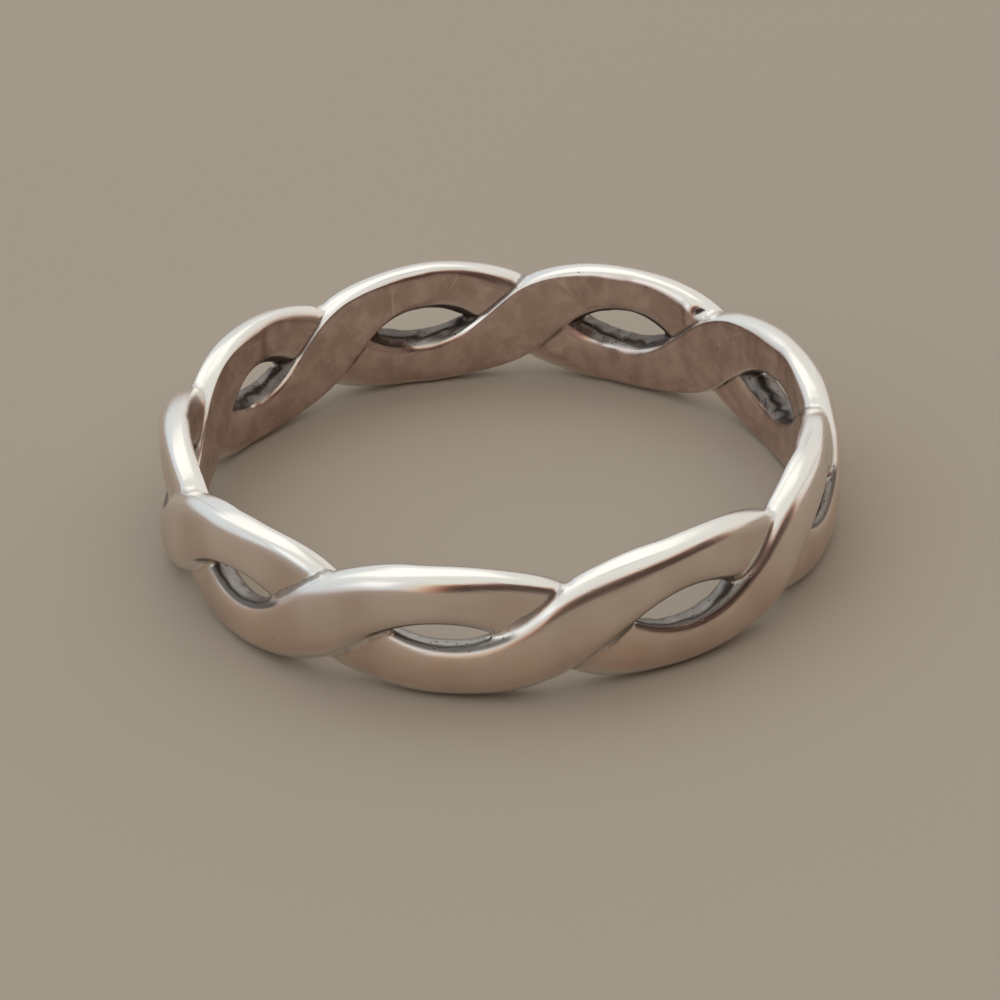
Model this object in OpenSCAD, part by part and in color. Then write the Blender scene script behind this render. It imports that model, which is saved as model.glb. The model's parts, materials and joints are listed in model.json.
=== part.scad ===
// Braided band ring: two flattened silver strands twisted round each other, run together where they cross.
// With an odd number of crossings they are one strand that goes twice round. Millimetres, the bore along Z,
// the origin on the bore's axis at the surface that the ring lies on.

/* [Ring size] */
// Radius of the bore that the finger goes through
bore_r = 8.6; // [7:0.05:11]
// Height of the band from its lowest lobe to its highest
band_h = 3.9; // [3:0.05:7]
// Thickness of the band at a lobe, from the bore to the outer face
wall = 1.02; // [0.8:0.02:2]

/* [Braid] */
// Number of crossings round the band
crossings = 9; // [5:1:14]
// Height of a strand at the top or bottom of its swing
lobe_w = 1.5; // [0.6:0.02:2]
// Height of a strand where it crosses the other
crossing_w = 2.58; // [1.6:0.02:4]
// How far the outer strand stands out, and the inner one steps in, at a crossing
step_out = 0.18; // [0:0.01:0.3]
// How far the outer strand stays off the bore at a crossing
seam_gap = 0.07; // [0.02:0.01:0.3]
// Degrees by which a strand runs flatter through a crossing than a plain wave
linger = 3; // [0:0.5:8]
// How far a strand draws back from the two ends of an eyelet
end_cut = 0.1; // [0:0.01:0.2]

/* [Strand section] */
// Depth of the widest line of a strand, measured outward from the bore
widest = 0.5; // [0.2:0.01:0.6]
// Roundness of the outer half: 2 is an ellipse, more is squarer
outer_square = 2.9; // [2:0.1:6]
// Roundness of the inner half: 2 is an ellipse, more is squarer
inner_square = 2.3; // [2:0.1:6]
// Width of the flat on the bore at a lobe, as a share of the strand's height
flat_share = 0.57; // [0.3:0.01:0.6]
// How much wider that flat is where the strand crosses inside
flat_inside = 0.35; // [0:0.01:0.35]
// How much narrower it is where the strand goes outside
flat_outside = 0.15; // [0:0.01:0.2]
// How far the section leans, its bore side towards the rim of the band
lean = 0.09; // [0:0.01:0.2]
// How much further the bore side leans where the strand goes outside
roll = 0.35; // [0:0.01:0.4]

/* [Placing] */
// Ring angle of the first crossing, before it is shifted by hand
first_crossing = 201.6; // [0:0.1:360]

/* [Hidden] */
// Handwork, a row for each crossing and the eyelet after it: how far the crossing is shifted round the band
// in degrees, and how far the upper and the lower strand grow into the eyelet, as shares of lobe_w
SHIFT = 0;
UPPER = 1;
LOWER = 2;
HANDWORK = [
    [-1.6, 0.02, -0.01],
    [-2.9, 0.03, 0.1],
    [-1.3, -0.03, -0.06],
    [2.5, -0.02, -0.03],
    [0.2, 0, 0.02],
    [2, -0.05, 0.03],
    [2.3, -0.04, 0.02],
    [2.3, 0.01, 0.05],
    [-0.2, 0.04, -0.01],
];
// How far a strand swings above and below the middle of the band
swing = (band_h - lobe_w) / 2;
// Plain angle from one crossing to the next
step = 360 / crossings;
// Rings of points along one turn of a strand
turn_n = 132;
// Points along the outer half of a section
outer_n = 8;
// Points along each inner flank of a section
flank_n = 3;
// Plain angle where one turn meets the next, beside an eyelet
joint_at = first_crossing + step / 2;
// Angle by which the ends of a turn run into the next turn, and their size there
overlap = 1.5;
overlap_share = 0.7;
// How far a strand runs past the bore before the bore is cut, and the share of the way round its inner side
// at which a flank ends there
overcut = 0.15;
past_edge = 0.85;
// Cosines of the twist angle between which a strand leaves the bore on its way to crossing outside
lift_start = -0.28;
lift_end = 0.27;
$fn = 120;

// A signed power
function spow(v, e) = sign(v) * pow(abs(v), e);
// Smooth step from 0 to 1 as v goes from a to b
function ease(v, a, b) = let (t = max(0, min(1, (v - a) / (b - a)))) t * t * (3 - 2 * t);

// Twist angle of strand k at the plain angle q
function twist(q, k) = 180 / step * (q - first_crossing) + 180 * k;
// Number of crossings passed at the plain angle q
function passed(q) = floor((q - first_crossing) / step);
// Handwork of crossing j
function hand(j) = HANDWORK[((j % crossings + crossings) % crossings) % len(HANDWORK)];
// Ring angle at the plain angle q, eased from the shift of one crossing to that of the next
function ring_angle(q) = let (j = passed(q), t = ease((q - first_crossing) / step - j, 0, 1))
    q + hand(j)[SHIFT] * (1 - t) + hand(j + 1)[SHIFT] * t;
// Growth of strand k into the eyelet at the plain angle q, less its draw back towards the eyelet's ends
function growth(q, k) = let (f = twist(q, k), s = sin(f), row = hand(passed(q)))
    lobe_w * row[s > 0 ? UPPER : LOWER] * s * s - end_cut * pow(sin(2 * f), 2);

// How far on its way outside a strand is, from 0 at a lobe to 1 near the crossing
function outside(f) = ease(cos(f), 0, 0.8);
// Share of the strand's height that its flat bore side takes up
function flat(f) = flat_share + flat_inside * pow(max(0, -cos(f)), 1.5) - flat_outside * outside(f);
// Outer depth of a strand
function depth(f) = wall + step_out * cos(f);
// Depth of the strand's inner side: past the bore, or just off it on the outer strand of a crossing
function inner(f) = -overcut + (overcut + seam_gap) * ease(cos(f), lift_start, lift_end);
// Half height of strand k
function half(q, k) = (lobe_w + (crossing_w - lobe_w) * pow(cos(twist(q, k)), 2) + growth(q, k)) / 2;
// Height of its middle
function middle(q, k) = let (f = twist(q, k))
    swing * sin(f - linger * sin(2 * f)) - sign(sin(f)) * growth(q, k) / 2;

// One section as depth from the bore and share of the half height
function outer_arc(f) = [for (i = [0:outer_n]) let (s = -90 + 180 * i / outer_n)
    [widest + (depth(f) - widest) * spow(cos(s), 2 / outer_square), spow(sin(s), 2 / outer_square)]];
// Flank from the widest line to a little past the edge of the flat, on the side given by up
function flank(f, up) = let (a = flat(f), e = inner_square, s1 = past_edge * asin(pow(a, e / 2)),
        reach = (widest - max(0, inner(f))) / pow(1 - pow(a, e), 1 / e))
    [for (i = [1:flank_n]) let (s = 90 + (s1 - 90) * i / flank_n)
        [widest - reach * spow(cos(s), 2 / e), up * spow(sin(s), 2 / e)]];
function section(f) = let (up = flank(f, 1), low = flank(f, -1), a = past_edge * flat(f), d = inner(f))
    [for (p = concat(outer_arc(f), up, [[d, a], [d, -a]], [for (i = [flank_n - 1:-1:0]) low[i]]))
        [max(p[0], d), p[1]]];

// Rise of a point of the section at depth d from its lean, which grows with the square on the bore side
function rise(f, d) = let (u = (widest - d) / widest)
    sin(f) * (lean * u + roll * outside(f) * pow(max(0, u), 2));
// One point of strand k at plain angle q
function place(p, q, k) = let (r = bore_r + p[0], g = ring_angle(q))
    [r * cos(g), r * sin(g), middle(q, k) + half(q, k) * p[1] + rise(twist(q, k), p[0])];
// Points of one section, drawn in about the widest line by the share s
function ring_of(q, k, s = 1) = [for (p = section(twist(q, k)))
    place([widest + (p[0] - widest) * s, p[1] * s], q, k)];
// A turn of sections with a smaller one at each end, which runs inside the turn that it meets. The sections
// of one strand lie between those of the other.
function rail(k) = let (met = (k + crossings) % 2) concat([ring_of(joint_at - overlap, k, overlap_share)],
    [for (i = [0:turn_n - 1]) ring_of(joint_at + 360 * (i - (i > 0 && k > 0 ? 0.5 : 0)) / turn_n, k)],
    [ring_of(joint_at, met), ring_of(joint_at + overlap, met, overlap_share)]);

// A closed skin over a row of sections
module skin(rows) {
    n = len(rows[0]);
    m = len(rows);
    points = [for (row = rows) for (p = row) p];
    sides = [for (i = [0:m - 2]) for (j = [0:n - 1])
        let (a = i * n + j, b = i * n + (j + 1) % n) each [[a, b + n, a + n], [a, b, b + n]]];
    ends = [[for (j = [n - 1:-1:0]) j], [for (j = [0:n - 1]) (m - 1) * n + j]];
    polyhedron(points, concat(sides, ends), convexity = 10);
}

// One turn of one strand
module strand(k) skin(rail(k));

// The finished band: both turns run together, brought to the band's height and opened to its bore
module band() color([0.78, 0.76, 0.72]) translate([0, 0, band_h / 2]) difference() {
    resize([0, 0, band_h]) union() {
        strand(0);
        strand(1);
    }
    translate([0, 0, -band_h]) cylinder(h = 2 * band_h, r = bore_r);
}

band();
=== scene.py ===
import json
import math

import bpy
import numpy as np
from mathutils import Matrix, Vector


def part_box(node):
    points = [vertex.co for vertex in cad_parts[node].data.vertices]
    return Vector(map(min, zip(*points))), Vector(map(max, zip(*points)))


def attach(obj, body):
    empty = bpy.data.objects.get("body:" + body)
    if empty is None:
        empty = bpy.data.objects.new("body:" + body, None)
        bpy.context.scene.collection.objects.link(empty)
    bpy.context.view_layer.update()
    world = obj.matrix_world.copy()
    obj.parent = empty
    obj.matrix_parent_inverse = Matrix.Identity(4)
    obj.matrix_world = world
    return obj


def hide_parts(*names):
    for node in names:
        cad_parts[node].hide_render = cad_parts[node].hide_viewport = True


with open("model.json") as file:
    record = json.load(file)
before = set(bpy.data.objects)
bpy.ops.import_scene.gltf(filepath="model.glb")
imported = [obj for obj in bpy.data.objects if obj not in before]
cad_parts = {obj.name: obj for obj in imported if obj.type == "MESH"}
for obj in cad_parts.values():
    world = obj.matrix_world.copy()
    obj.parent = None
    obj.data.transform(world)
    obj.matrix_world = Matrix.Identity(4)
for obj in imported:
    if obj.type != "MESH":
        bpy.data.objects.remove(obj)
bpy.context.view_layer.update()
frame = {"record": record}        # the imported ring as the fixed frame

# The band is one endless strand of silver that goes twice round the finger and is twisted about itself,
# cast in one piece and run together where it crosses. Its two turns are swept here one by one and joined
# into one closed body, as the casting is.

mm = 0.001
low_corner, high_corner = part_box("band")
band_h = (high_corner.z - low_corner.z) / mm
bore_r = frame["record"]["mounts"][0]["dims"]["r_mm"]
wall = 1.02                 # depth of the outer face over the bore, at a lobe
crossings = 9               # half twists round the band
lobe_w = 1.5                # height of a strand at the top or bottom of its swing
crossing_w = 2.58           # and where it crosses the other
step_out = 0.18             # how far the outer strand stands out at a crossing
seam_gap = 0.07             # and how far it stays off the bore
lift_start = -0.28          # cosine of the twist where it begins to leave the bore
lift_end = 0.27             # and where it has left
linger = math.radians(3)    # how much flatter a strand runs through a crossing than a plain wave
end_cut = 0.10              # how far a strand draws back from the two ends of an eyelet
widest = 0.5                # depth of the widest line of a section
outer_square = 2.9          # roundness of the outer half of a section
inner_square = 2.3          # and of the inner half
flat_share = 0.57           # share of the height that lies flat on the bore, at a lobe
flat_inside = 0.35          # more where the strand crosses inside
inside_power = 1.5          # how late that grows on the way inside
flat_outside = 0.15         # less where it goes outside
lean = 0.09                 # lean of the section, its bore side towards the rim
roll = 0.35                 # more on the bore side where the strand goes outside
outside_full = 0.8          # cosine of the twist from which a strand counts as outside
reamed = 0.15               # depth of metal that was reamed away to open the bore
edge_soft = 0.026           # softness of the edge between the bore's flat and a flank
lift_soft = 1.5 * edge_soft     # and of the edge where the bore side leaves the bore
first_crossing = math.radians(201.6)
# Handwork, a row for each crossing and the eyelet after it: how far the crossing is shifted round the band
# in degrees, how far the upper and the lower strand grow into the eyelet, as shares of lobe_w, and how rough
# and tarnished the eyelet was left, which also sets how dark its ledges are painted as shade, darkest in the
# eyelets at the back
handwork = np.array([
    (-1.6, 0.02, -0.01, 0.5),
    (-2.9, 0.03, 0.10, 0.25),
    (-1.3, -0.03, -0.06, 0.6),
    (2.5, -0.02, -0.03, 0.6),
    (0.2, 0.00, 0.02, 0.8),
    (2.0, -0.05, 0.03, 1.0),
    (2.3, -0.04, 0.02, 1.0),
    (2.3, 0.01, 0.05, 0.8),
    (-0.2, 0.04, -0.01, 0.6),
])
shift_column, upper_column, lower_column, rough_and_shaded_column = handwork.T
swing = (band_h - lobe_w) / 2
crossing_step = 2 * math.pi / crossings


def signed_power(v, e):
    """The power of a number's size, with the number's own sign."""
    return np.sign(v) * np.abs(v) ** e


def eased(v, start, end):
    """Smooth step from 0 to 1 as v goes from start to end: three times the square of the share of the way
    less twice its cube, with the share held between 0 and 1."""
    t = np.clip((v - start) / (end - start), 0, 1)
    return t * t * (3 - 2 * t)


def soft_max(low, high, softness):
    """The larger of two numbers, with a soft change from one to the other: half of their sum and of the root
    of their squared difference plus four times the squared softness."""
    return (low + high + np.sqrt((high - low) ** 2 + 4 * softness ** 2)) / 2


def crossing_row(turn):
    """Row of the handwork for the last crossing passed at the plain angles."""
    return np.floor((turn - first_crossing) / crossing_step).astype(int) % crossings


def ring_angle(turn):
    """Plain angle plus the handwork's shift, eased from one crossing's value to the next one's."""
    passed = (turn - first_crossing) / crossing_step
    row = crossing_row(turn)
    here, there = shift_column[row], shift_column[(row + 1) % crossings]
    return turn + np.radians(here + (there - here) * eased(passed - np.floor(passed), 0, 1))


def strand_line(turn, strand):
    """Twist angle, height of the middle line and half height of a strand at the plain angles.

    The twist angle grows by half a turn from one crossing to the next. The middle line is a sine of it,
    slightly flattened, and the half height grows with the square of its cosine. Handwork widens the strand
    towards the eyelet with the square of its sine, and it draws back from the eyelet's ends with the square
    of the sine of twice the twist."""
    twist = math.pi / crossing_step * (turn - first_crossing) + math.pi * strand
    row = crossing_row(turn)
    side = np.sign(np.sin(twist))
    growth = lobe_w * np.where(side > 0, upper_column[row], lower_column[row]) * np.sin(twist) ** 2
    growth -= end_cut * np.sin(2 * twist) ** 2
    middle = swing * np.sin(twist - linger * np.sin(2 * twist)) - side * growth / 2
    half = (lobe_w + (crossing_w - lobe_w) * np.cos(twist) ** 2 + growth) / 2
    return twist, middle, half


def section_sizes(twist):
    """Depth of the outer face, level of the bore side, flat's share and reach of the inner half-oval.

    The outer face's depth swings with the cosine of the twist. The bore side leaves the bore on its way
    outside. The inner half-oval's reach is such that it cuts that level at the flat's share of the half
    height."""
    along = np.cos(twist)
    outer = wall + step_out * along
    lifted = -reamed + (reamed + seam_gap) * eased(along, lift_start, lift_end)
    level = soft_max(0, lifted, lift_soft)
    wider = flat_inside * np.clip(-along, 0, 1) ** inside_power
    flat = flat_share + wider - flat_outside * eased(along, 0, outside_full)
    reach = (widest - level) / (1 - flat ** inner_square) ** (1 / inner_square)
    return outer, level, flat, reach


def rise(twist, depth):
    """Rise of a point of the section: its lean, which grows evenly with the distance in from the widest line,
    and its roll, which grows with the square of that distance. Both swing with the sine of the twist."""
    u = (widest - depth) / widest
    rolled = roll * eased(np.cos(twist), 0, outside_full) * np.maximum(u, 0) ** 2
    return np.sin(twist) * (lean * u + rolled)


outer_n, flank_n, flat_n = 34, 10, 6    # steps round the outer half, down a flank and over half the flat
crowding = 1.6                          # how closely the points crowd at the edge of the flat


def strand_skin(turn, strand, share=1.0):
    """Grid of points, a row for each plain angle and a column for each place round the section.

    The outer half is a superoval from the lower to the upper widest line. The inner half is a superoval of
    the flat's reach, kept off the bore by the soft maximum. A share below one draws the section in."""
    twist, middle, half = strand_line(turn, strand)
    outer, level, flat, reach = (v[:, None] for v in section_sizes(twist))
    a = np.linspace(-math.pi / 2, math.pi / 2, outer_n + 1)[None, :]
    out_depth = widest + (outer - widest) * np.abs(np.cos(a)) ** (2 / outer_square)
    out_height = signed_power(np.sin(a), 2 / outer_square)
    edge = np.arcsin(flat ** (inner_square / 2))
    to_edge = 1 - (1 - np.linspace(0, 1, flank_n + 1)[None, 1:]) ** crowding
    past_edge = np.linspace(0, 1, flat_n + 1)[None, 1:] ** crowding
    b = np.concatenate([math.pi / 2 + (edge - math.pi / 2) * to_edge, edge * (1 - past_edge)], 1)
    b = np.concatenate([b, -b[:, -2::-1]], 1)
    in_depth = soft_max(level, widest - reach * np.abs(np.cos(b)) ** (2 / inner_square), edge_soft)
    in_height = signed_power(np.sin(b), 2 / inner_square)
    depth = np.concatenate([out_depth, in_depth], 1)
    height = np.concatenate([np.repeat(out_height, len(turn), 0), in_height], 1)
    depth, height = widest + (depth - widest) * share, height * share
    angle = ring_angle(turn)[:, None]
    return np.stack([
        (bore_r + depth) * np.cos(angle),
        (bore_r + depth) * np.sin(angle),
        middle[:, None] + half[:, None] * height + rise(twist[:, None], depth),
    ], -1)


def closed_skin(name, grid):
    """Mesh object of a grid of rows that close on themselves, with a cap on the first and the last row."""
    rows, columns = grid.shape[:2]
    i, j = np.arange(rows - 1)[:, None], np.arange(columns)[None, :]
    beside = (j + 1) % columns
    quads = np.stack([
        i * columns + j, (i + 1) * columns + j, (i + 1) * columns + beside, i * columns + beside,
    ], -1)
    first_cap = list(range(columns))
    last_cap = [(rows - 1) * columns + n for n in reversed(range(columns))]
    mesh = bpy.data.meshes.new(name)
    mesh.from_pydata(grid.reshape(-1, 3), [], quads.reshape(-1, 4).tolist() + [first_cap, last_cap])
    skin = bpy.data.objects.new(name, mesh)
    bpy.context.scene.collection.objects.link(skin)
    return skin


turn_rows = 640                                     # rows of points along one turn
turn_start = first_crossing + crossing_step / 2     # where one turn meets the next, beside an eyelet
overlap = 0.03                                      # radians by which a turn's ends run into the next turn
overlap_share = 0.7                                 # and their size there


def swept_turn(strand):
    """One turn of the endless strand, as rows of sections at even steps of the plain angle.

    Each end has a smaller section just past it, which lies inside the metal of the turn that it meets. The
    second turn's rows lie halfway between those of the first."""
    steps = np.concatenate([[0.0], np.arange(1, turn_rows) - 0.5 * strand])
    turn = turn_start + 2 * math.pi * steps / turn_rows
    return closed_skin("turn_%d" % strand, np.concatenate([
        strand_skin(np.array([turn_start - overlap]), strand, overlap_share),
        strand_skin(turn, strand),
        strand_skin(np.array([turn_start]), 1 - strand),
        strand_skin(np.array([turn_start + overlap]), 1 - strand, overlap_share),
    ]))


turns = [swept_turn(strand) for strand in (0, 1)]
join = turns[0].modifiers.new("join", "BOOLEAN")
join.operation, join.solver, join.object = "UNION", "MANIFOLD", turns[1]
bpy.context.view_layer.update()
joined = turns[0].evaluated_get(bpy.context.evaluated_depsgraph_get())
silver_mesh = bpy.data.meshes.new_from_object(joined)
silver_mesh.name = "silver_band"
for turned in turns:
    bpy.data.objects.remove(turned)


def rows_of(collection, what):
    """Places or normals of a mesh as an array of rows."""
    values = np.empty(len(collection) * 3, np.float32)
    collection.foreach_get(what, values)
    return values.reshape(-1, 3).astype(float)


table_turn = first_crossing + np.linspace(0, 2 * math.pi, 7201)
table_angle = ring_angle(table_turn)
least_oval = 0.05           # a point nearer than this share to the middle of a section counts as this near


def section_place(points, strand):
    """Where points lie in a strand's section: plain angle, twist, depth over the bore, height over the middle
    line as a share of the half height, depth of the outer face, level of the bore side, and the distance from
    the section's outline along the line from its middle, below zero inside it."""
    angle = np.arctan2(points[:, 1], points[:, 0])
    angle = table_angle[0] + (angle - table_angle[0]) % (2 * math.pi)
    turn = np.interp(angle, table_angle, table_turn)
    twist, middle, half = strand_line(turn, strand)
    outer, level, flat, reach = section_sizes(twist)
    depth = np.hypot(points[:, 0], points[:, 1]) - bore_r
    height = points[:, 2] - middle - rise(twist, depth)
    outside = depth > widest
    out_share = np.abs(depth - widest) / np.where(outside, outer - widest, reach)
    power = np.where(outside, outer_square, inner_square)
    oval = (out_share ** power + np.abs(height / half) ** power) ** (1 / power)
    away = np.hypot(depth - widest, height) * (1 - 1 / np.maximum(oval, least_oval))
    return turn, twist, depth, height / half, outer, level, np.maximum(away, level - depth)


# Each point belongs to the strand whose outline it lies nearer to, and apart is how far it is from the other
# strand, so it is small along the seams. Inside marks the bore's wall, where a seam shows only on the strand
# that goes outside. Eyelet marks the ledges that face an eyelet and fades towards the outer seams, and lumpy
# their rough part, which is fainter on the upper strand.
points = rows_of(silver_mesh.vertices, "co")
normals = rows_of(silver_mesh.vertex_normals, "vector")
places = [section_place(points, strand) for strand in (0, 1)]
first_away, second_away = places[0][-1], places[1][-1]
own = np.where(first_away < second_away, 0, 1)
turn, twist, depth, across, outer, level, _ = (np.where(own == 0, a, b) for a, b in zip(*places))
apart = np.where(own == 0, second_away, first_away)
inward = -(points[:, :2] * normals[:, :2]).sum(1) / np.hypot(points[:, 0], points[:, 1])
inside = eased(inward, 0.75, 0.95) * eased(depth, 0.16, 0.10)
apart += inside * eased(np.cos(twist), 0, -0.2)
# The eyelet's row gives the roughness of its lumps and how dark its ledges are painted as shade.
rough_and_shaded = rough_and_shaded_column[crossing_row(turn)]
eyelet = eased(-np.sign(np.sin(twist)) * across, 0.45, 0.70) * eased(apart, 1.4, 1.0)
eyelet *= eased(np.abs(np.cos(twist)), 0.84, 0.72)
eyelet *= eased(1 - (0.2 - apart) / 0.15 * eased(depth, 0.5, 0.8), 0, 1)
lumpy = rough_and_shaded * eyelet * eased(depth, 0.12, 0.24) * eased(outer - depth, 0.16, 0.30)
lumpy *= np.where(np.sin(twist) > 0, 0.3, 1.0)

# The seams of the outer side were smoothed by polishing, and so are the points near them here: each moves
# halfway to the mean of its neighbours, some times over.
polish_rounds = 24
edges = np.empty(len(silver_mesh.edges) * 2, np.int32)
silver_mesh.edges.foreach_get("vertices", edges)
ends = np.concatenate([edges.reshape(-1, 2), edges.reshape(-1, 2)[:, ::-1]])
neighbours = np.bincount(ends[:, 0], minlength=len(points))[:, None]
polished = (0.5 * eased(apart, 0.30, 0.10) * (1 - inside) * eased(depth, 0.2, 0.4))[:, None]
for _ in range(polish_rounds):
    mean = np.stack([np.bincount(ends[:, 0], points[ends[:, 1], axis], len(points)) for axis in range(3)], -1)
    points += polished * (mean / neighbours - points)


def waves(points, length, count, seed):
    """Sum of plane waves in seeded directions, scaled to a spread of about one. Each is 0.7 to 1.4 times as
    dense as a wave of the given length."""
    draw = np.random.default_rng(seed)
    way = draw.normal(size=(count, 3))
    way *= (2 * math.pi / length / np.linalg.norm(way, axis=1) * draw.uniform(0.7, 1.4, count))[:, None]
    return np.sin(points @ way.T + draw.uniform(0, 2 * math.pi, count)).sum(1) * math.sqrt(2 / count)


# Polishing by hand left long soft waves in the outer faces, and the eyelets keep the casting's lumps.
wave_height, wave_length = 0.010, 2.6
bump_height, bump_length = 0.016, 0.55
points += normals * (wave_height * (1 - inside) * waves(points, wave_length, 24, 3))[:, None]
points += normals * (bump_height * lumpy * waves(points, bump_length, 40, 4))[:, None]

# A casting flaw was left in the notch at the back right: a small lump, and beside it a dark slanting crack.
# Their places are round the band and in depth, and their sizes where they have faded to about a third.
flaw_angle = math.radians(47.0)
lump_along, lump_depth, lump_long, lump_deep, lump_height = 0.22, 0.12, 0.20, 0.13, 0.07
crack_along, crack_depth, crack_long, crack_wide, crack_cut = -0.12, 0.26, 0.2, 0.06, 0.09
crack_slant = math.radians(35)
along = (np.arctan2(points[:, 1], points[:, 0]) - flaw_angle) * bore_r
top_side = eased(points[:, 2], 0.7, 0.9)
lump = top_side * np.exp(
    -((along - lump_along) / lump_long) ** 2 - ((depth - lump_depth) / lump_deep) ** 2)
down_crack = (along - crack_along) * math.cos(crack_slant) - (depth - crack_depth) * math.sin(crack_slant)
over_crack = (along - crack_along) * math.sin(crack_slant) + (depth - crack_depth) * math.cos(crack_slant)
flaw = top_side * np.exp(-(down_crack / crack_long) ** 2 - (over_crack / crack_wide) ** 2)
points += normals * (lump_height * lump - crack_cut * flaw)[:, None]

# The finished band has the frame's height, and lies on the same ground.
sharp_angle = math.radians(38)
natural_low, natural_high = points[:, 2].min(), points[:, 2].max()
points[:, 2] = (points[:, 2] - natural_low) * band_h / (natural_high - natural_low) + low_corner.z / mm
silver_mesh.vertices.foreach_set("co", (points * mm).astype(np.float32).ravel())
silver_mesh.shade_smooth()
silver_mesh.set_sharp_from_angle(angle=sharp_angle)
for name, values in dict(
        apart=apart, eyelet=eyelet, rough_and_shaded=rough_and_shaded, flaw=flaw, inside=inside, across=across, depth=depth,
        under=outer - depth, over=depth - level).items():
    silver_mesh.attributes.new(name, "FLOAT", "POINT").data.foreach_set("value", values.astype(np.float32))
silver_mesh.update()
silver_band = bpy.data.objects.new("silver_band", silver_mesh)
bpy.context.scene.collection.objects.link(silver_band)

rim_silver = (0.90, 0.86, 0.83, 1)
# Face colour: a painted reflection of a brown floor, warmer and darker than the rims.
face_reflection_warm = (0.82, 0.72, 0.66, 1)
# Low colour: painted shade near the floor, warmer and darker.
low_shade_warm = (0.80, 0.62, 0.52, 1)
haze_brown = (0.60, 0.46, 0.40, 1)
line_grey = (0.50, 0.47, 0.46, 1)
# Bore colours: a painted reflection of a brown floor, mottled between a darker and a paler brown.
bore_reflection_brown = (0.52, 0.385, 0.34, 1)
bore_reflection_pale = (0.70, 0.535, 0.485, 1)
scratch_pale = (0.92, 0.80, 0.74, 1)
# Eyelet colours: painted shade on the ledges, from light grey to near black, with some tarnish.
eyelet_light_shade = (0.58, 0.55, 0.52, 1)
eyelet_deep_shade = (0.21, 0.18, 0.165, 1)
eyelet_shade_black = (0.12, 0.095, 0.085, 1)
seam_black = (0.07, 0.04, 0.03, 1)

silver = bpy.data.materials.new("silver")
silver.use_nodes = True
tree = silver.node_tree
shader = tree.nodes["Principled BSDF"]


def node(kind, inputs=(), out=0, **settings):
    """An output of a new node in the tree at hand, with its settings and its sockets set or linked."""
    new = tree.nodes.new("ShaderNode" + kind)
    for name, value in settings.items():
        setattr(new, name, value)
    for name, value in dict(inputs).items():
        if isinstance(value, bpy.types.NodeSocket):
            tree.links.new(value, new.inputs[name])
        else:
            new.inputs[name].default_value = value
    return new.outputs[out]


def stored(name):
    """A number that is stored on the mesh."""
    return node("Attribute", out="Fac", attribute_name=name)


def maths(operation, *values):
    """One step of arithmetic."""
    return node("Math", dict(enumerate(values)), operation=operation)


def ramp(value, low, high, start=0.0, end=1.0):
    """Eased step from start to end as a value goes from low to high."""
    sockets = {"Value": value, "From Min": low, "From Max": high, "To Min": start, "To Max": end}
    return node("MapRange", sockets, interpolation_type="SMOOTHSTEP")


def blend(share, under, over):
    """A colour laid over another by a share."""
    return node("MixRGB", {"Fac": share, "Color1": under, "Color2": over})


def noise(vector, scale, detail=2.0, roughness=0.5):
    """Cloudy noise from 0 to 1, with the scale in clouds to the metre on plain places."""
    return node("TexNoise", {"Vector": vector, "Scale": scale, "Detail": detail, "Roughness": roughness})


here = node("TexCoord", out="Object")
apart_mm, inside_share, across_share = stored("apart"), stored("inside"), stored("across")
depth_mm, under_mm, over_mm = stored("depth"), stored("under"), stored("over")
rough_and_shaded_share = stored("rough_and_shaded")
cloud = noise(here, 620, 3.0)
patch = noise(here, 1700, 3.0, 0.6)
grain = noise(here, 9000, 4.0, 0.6)

# An eyelet's ledges begin a little over the bore side and end a little under the outer face.
ledge = maths("MULTIPLY", ramp(over_mm, 0.085, 0.12), ramp(under_mm, 0.08, 0.13))
eyelet_share = maths("MULTIPLY", stored("eyelet"), ledge)

# Polishing lines run along the strand: fine across it and over its depth, long the other way.
fine_way = node("CombineXYZ", {
    "X": maths("MULTIPLY", depth_mm, 11.0), "Z": maths("MULTIPLY", across_share, 8.0)})
long_way = node("VectorMath", {0: here, 1: (160, 160, 0)}, operation="MULTIPLY")
lines = noise(node("VectorMath", {0: fine_way, 1: long_way}, operation="ADD"), 1.0, 4.0, 0.65)

# Haze left by the polishing cloth, in soft upright bands.
upright = node("VectorMath", {0: here, 1: (480, 480, 130)}, operation="MULTIPLY")
haze = ramp(noise(upright, 1.0, 1.0), 0.36, 0.66)

# Fine scratches from wear lie every way, in broken patches.
tilted = node("Mapping", {"Vector": here, "Rotation": (0.5, 0.3, 0.8), "Scale": (260, 1500, 420)})
cracks = node("TexVoronoi", {"Vector": tilted, "Scale": 1.0}, feature="DISTANCE_TO_EDGE")
scratch = maths("MULTIPLY", ramp(cracks, 0.0, 0.018, 1.0, 0.0), ramp(noise(here, 900), 0.5, 0.62))

# Casting pits stay in the eyelets, with a stray one elsewhere.
cells = node("TexVoronoi", {"Vector": here, "Scale": 5200})
pitted = maths("MAXIMUM", eyelet_share, ramp(noise(here, 1300), 0.70, 0.76))
pit = maths("MULTIPLY", ramp(cells, 0.06, 0.26, 1.0, 0.0), pitted)

# Tarnish: a thin dark line in the bore's seams and a broken fainter one on the outside. The eyelets' ledges
# are painted shade, grey-brown with patches of tarnish, with a darker line of painted shade just behind their
# outer edge. The bore is a mottled warm brown, a painted reflection of a brown floor.
seam_share = ramp(maths("ADD", apart_mm, maths("MULTIPLY", grain, 0.05)), 0.04, 0.15, 1.0, 0.0)
seam_dark = ramp(noise(here, 420, 2.0), 0.50, 0.62, 0.12, 0.7)
seam_dirt = maths("MULTIPLY", seam_share, maths("MAXIMUM", seam_dark, inside_share))
seam_dirt = maths("MAXIMUM", seam_dirt, ramp(stored("flaw"), 0.3, 0.7))
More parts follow.
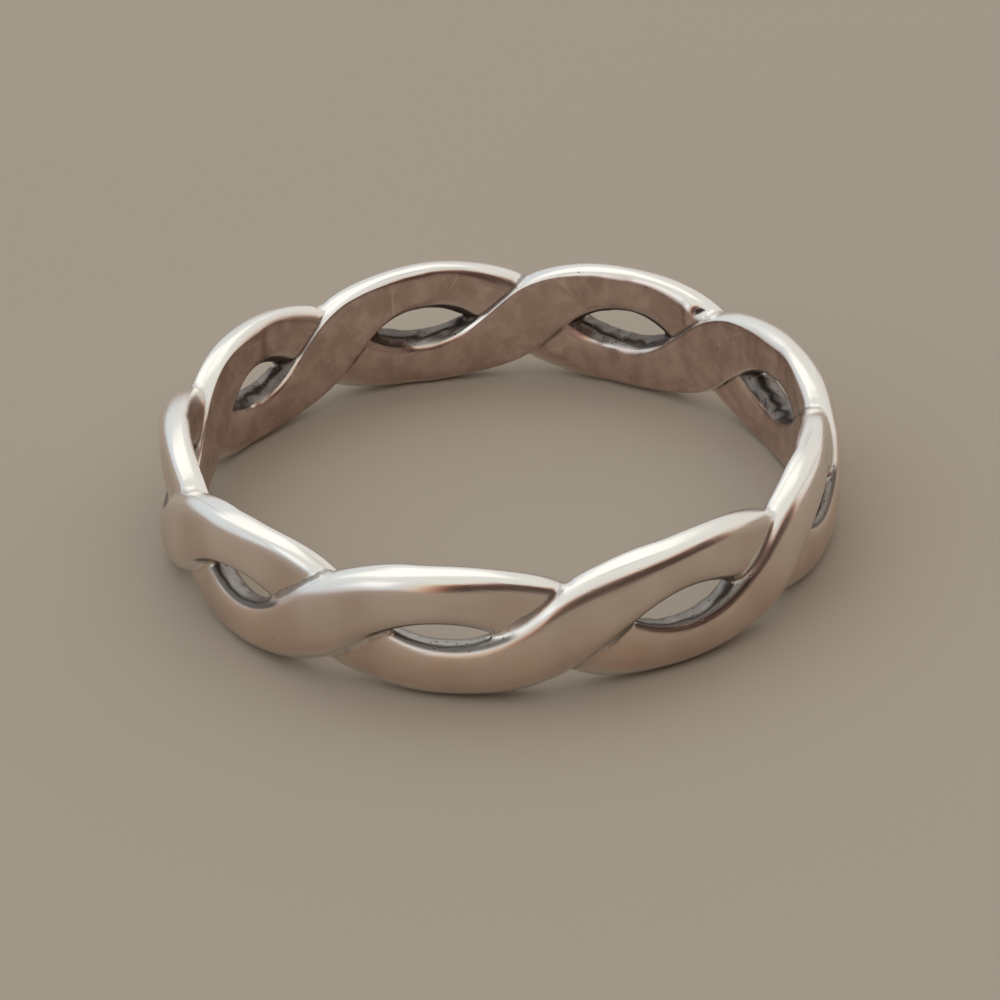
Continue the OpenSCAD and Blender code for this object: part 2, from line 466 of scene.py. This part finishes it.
# Painted shade in the eyelets: darker by the row's share, in patches with tarnish, and a line just behind the
# outer edge.
eyelet_dark = maths("MULTIPLY", rough_and_shaded_share, ramp(patch, 0.36, 0.66, 0.9, 0.3))
eyelet_dark = maths("MAXIMUM", eyelet_dark, ramp(under_mm, 0.15, 0.25, 0.8, 0.0))
eyelet_shade_and_tarnish = maths("MULTIPLY", eyelet_share, eyelet_dark)
# Painted reflection in the bore: a mottled warm brown, with pale scratches of wear over it.
bore_painted_reflection = maths("MULTIPLY", inside_share, ramp(cloud, 0.3, 0.7, 0.8, 1.0))
mottled = blend(ramp(patch, 0.35, 0.68), bore_reflection_brown, bore_reflection_pale)
mottled = blend(maths("MULTIPLY", scratch, 0.45), mottled, scratch_pale)

# The rims are the brightest silver. The faces between them are painted warmer and darker, a painted
# reflection of a brown floor, more so low down, where painted shade is added, and hazy.
rim_share = ramp(maths("ABSOLUTE", across_share), 0.55, 0.95)
face_tone = maths("MULTIPLY", maths("SUBTRACT", 1.0, rim_share), ramp(cloud, 0.3, 0.7, 0.75, 1.0))
streak = maths("MULTIPLY", ramp(lines, 0.55, 0.66, 0.0, 1.0), ramp(rim_share, 0.0, 1.0, 0.08, 0.4))
# Painted shade: the faces grow warmer and darker towards the bottom of the band.
low_shade_share = ramp(node("SeparateXYZ", {"Vector": here}, out=2), 0.6 * mm, 2.8 * mm, 1.0, 0.0)
face_reflection_and_haze = blend(low_shade_share, face_reflection_warm, low_shade_warm)
face_reflection_and_haze = blend(maths("MULTIPLY", haze, 0.6), face_reflection_and_haze, haze_brown)

# Painted reflection: the faces take the warm colour, the rims keep the bright silver.
colour = blend(face_tone, rim_silver, face_reflection_and_haze)
colour = blend(streak, colour, line_grey)
# The bore wall gets its painted reflection of a brown floor.
colour = blend(bore_painted_reflection, colour, mottled)
# The eyelets' ledges get their painted shade, then the near-black patches and the line behind the outer edge.
colour = blend(eyelet_share, colour, blend(rough_and_shaded_share, eyelet_light_shade, eyelet_deep_shade))
colour = blend(eyelet_shade_and_tarnish, colour, eyelet_shade_black)
colour = blend(maths("MAXIMUM", seam_dirt, maths("MULTIPLY", pit, 0.7)), colour, seam_black)
tree.links.new(colour, shader.inputs["Base Color"])

gloss = maths("ADD", ramp(cloud, 0.3, 0.7, 0.15, 0.22), maths("MULTIPLY", lines, 0.08))
for where, least in ((inside_share, 0.30), (eyelet_share, 0.36), (seam_dirt, 0.60)):
    gloss = maths("MAXIMUM", gloss, maths("MULTIPLY", where, least))
tree.links.new(gloss, shader.inputs["Roughness"])
tree.links.new(ramp(seam_dirt, 0.0, 1.0, 1.0, 0.5), shader.inputs["Metallic"])

relief = maths("MULTIPLY", lines, 0.004 * mm)
relief = maths("SUBTRACT", relief, maths("MULTIPLY", scratch, 0.0015 * mm))
relief = maths("SUBTRACT", relief, maths("MULTIPLY", pit, 0.012 * mm))
for where, height in ((eyelet_shade_and_tarnish, 0.012 * mm), (inside_share, 0.008 * mm)):
    relief = maths("ADD", relief, maths("MULTIPLY", maths("MULTIPLY", patch, where), height))
tree.links.new(node("Bump", {"Height": relief, "Distance": 1.0, "Strength": 1.0}), shader.inputs["Normal"])

silver_mesh.materials.clear()
silver_mesh.materials.append(silver)
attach(silver_band, "root")
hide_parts("band")

# The floor is a plain pale board under the ring, which lies on its side as it would by itself. It is matt,
# and a little warm, so that the silver takes its colour.

floor_half = 1.5
board_colour = (0.44, 0.375, 0.31, 1)
floor_mesh = bpy.data.meshes.new("floor")
floor_mesh.from_pydata(
    [(x * floor_half, y * floor_half, low_corner.z) for x, y in ((-1, -1), (1, -1), (1, 1), (-1, 1))],
    [], [(0, 1, 2, 3)])
floor = bpy.data.objects.new("floor", floor_mesh)
bpy.context.scene.collection.objects.link(floor)
board = bpy.data.materials.new("pale_board")
board.use_nodes = True
board_shader = board.node_tree.nodes["Principled BSDF"]
board_shader.inputs["Base Color"].default_value = board_colour
board_shader.inputs["Roughness"].default_value = 0.9
floor_mesh.materials.append(board)

# The light is a pale studio tent, brightest overhead, warm and dim near the ground. To the right in front of
# the ring it has a dark patch with a warm edge, which the rounded faces mirror as a dark line. One broad soft
# window hangs above and behind the ring, and a smaller one stands to the front left.

left_sky = (0.70, 0.77, 0.80, 1)
right_sky = (0.80, 0.78, 0.72, 1)
top_sky = (0.80, 0.81, 0.77, 1)
ground_sky = (0.36, 0.25, 0.20, 1)
patch_glow = (0.88, 0.78, 0.55, 1)
patch_brown = (0.55, 0.24, 0.17, 1)
patch_dark = (0.075, 0.045, 0.035, 1)
patch_east, patch_north = 0.96, -0.28       # the way along which the patch darkens, seen from above

world = bpy.data.worlds.new("tent")
bpy.context.scene.world = world
world.use_nodes = True
tree = world.node_tree
way = node("SeparateXYZ", {"Vector": node("TexCoord", out="Generated")})
east, north, high = (way.node.outputs[axis] for axis in "XYZ")
sky = blend(ramp(east, -0.7, 0.7), left_sky, right_sky)
sky = blend(ramp(high, 0.3, 0.95), sky, top_sky)
sky = blend(ramp(high, 0.02, 0.2), ground_sky, sky)
patch_way = maths("ADD", maths("MULTIPLY", east, patch_east), maths("MULTIPLY", north, patch_north))
dark_patch = maths("MULTIPLY", ramp(patch_way, -0.3, 0.3), ramp(north, -0.15, 0.1, 1.0, 0.0))
dark_patch = maths("MULTIPLY", dark_patch, ramp(high, 0.42, 0.74, 1.0, 0.0))
sky = blend(ramp(dark_patch, 0.0, 0.3), sky, patch_glow)
sky = blend(ramp(dark_patch, 0.15, 0.5), sky, patch_brown)
sky = blend(ramp(dark_patch, 0.4, 0.85), sky, patch_dark)
tree.links.new(sky, tree.nodes["Background"].inputs["Color"])


def soft_window(name, place, width, depth, power, tint):
    """A rectangular soft light that faces the ring's middle, in metres and watts."""
    light = bpy.data.lights.new(name, "AREA")
    light.shape, light.size, light.size_y = "RECTANGLE", width, depth
    light.energy, light.color = power, tint
    lamp = bpy.data.objects.new(name, light)
    lamp.location = place
    lamp.rotation_euler = (Vector((0, 0, 0)) - Vector(place)).to_track_quat("-Z", "Y").to_euler()
    bpy.context.scene.collection.objects.link(lamp)


soft_window("window", (-0.08, 0.20, 0.36), 0.42, 0.30, 0.16, (1.0, 0.97, 0.90))
soft_window("left_card", (-0.30, -0.22, 0.22), 0.20, 0.20, 0.05, (1.0, 0.98, 0.93))

# The camera stands in front of the ring, thirty degrees above it, and is rolled a little. The ring's middle
# lies just above and left of the middle of its picture.

image_px = 1000
sensor_mm = 36
view_distance, focal_px = 128.815 * mm, 4510.4
rise_angle, roll_angle = math.radians(29.716), math.radians(-2.086)
middle_px = Vector((497.8, 463.6))
ring_middle = Vector((0, 0, low_corner.z + band_h * mm / 2))
camera_data = bpy.data.cameras.new("camera")
camera_data.sensor_width = sensor_mm
camera_data.lens = focal_px / image_px * camera_data.sensor_width
camera_data.clip_start, camera_data.clip_end = 0.01, 10
camera = bpy.data.objects.new("camera", camera_data)
bpy.context.scene.collection.objects.link(camera)
from_ring = Vector((0, -math.cos(rise_angle), math.sin(rise_angle)))
level_right, level_up = Vector((1, 0, 0)), Vector((0, math.sin(rise_angle), math.cos(rise_angle)))
right = level_right * math.cos(roll_angle) + level_up * math.sin(roll_angle)
up = level_up * math.cos(roll_angle) - level_right * math.sin(roll_angle)
aside = (image_px / 2 - middle_px.x) / focal_px
below = (image_px / 2 - middle_px.y) / focal_px
sight = (-from_ring + right * aside - up * below).normalized()
backward = -sight
right = up.cross(backward).normalized()
up = backward.cross(right)
place = ring_middle + view_distance * from_ring
camera.matrix_world = Matrix((
    (right.x, up.x, backward.x, place.x),
    (right.y, up.y, backward.y, place.y),
    (right.z, up.z, backward.z, place.z),
    (0, 0, 0, 1),
))
bpy.context.scene.camera = camera
bpy.context.scene.view_settings.view_transform = "Standard"


bpy.context.view_layer.update()
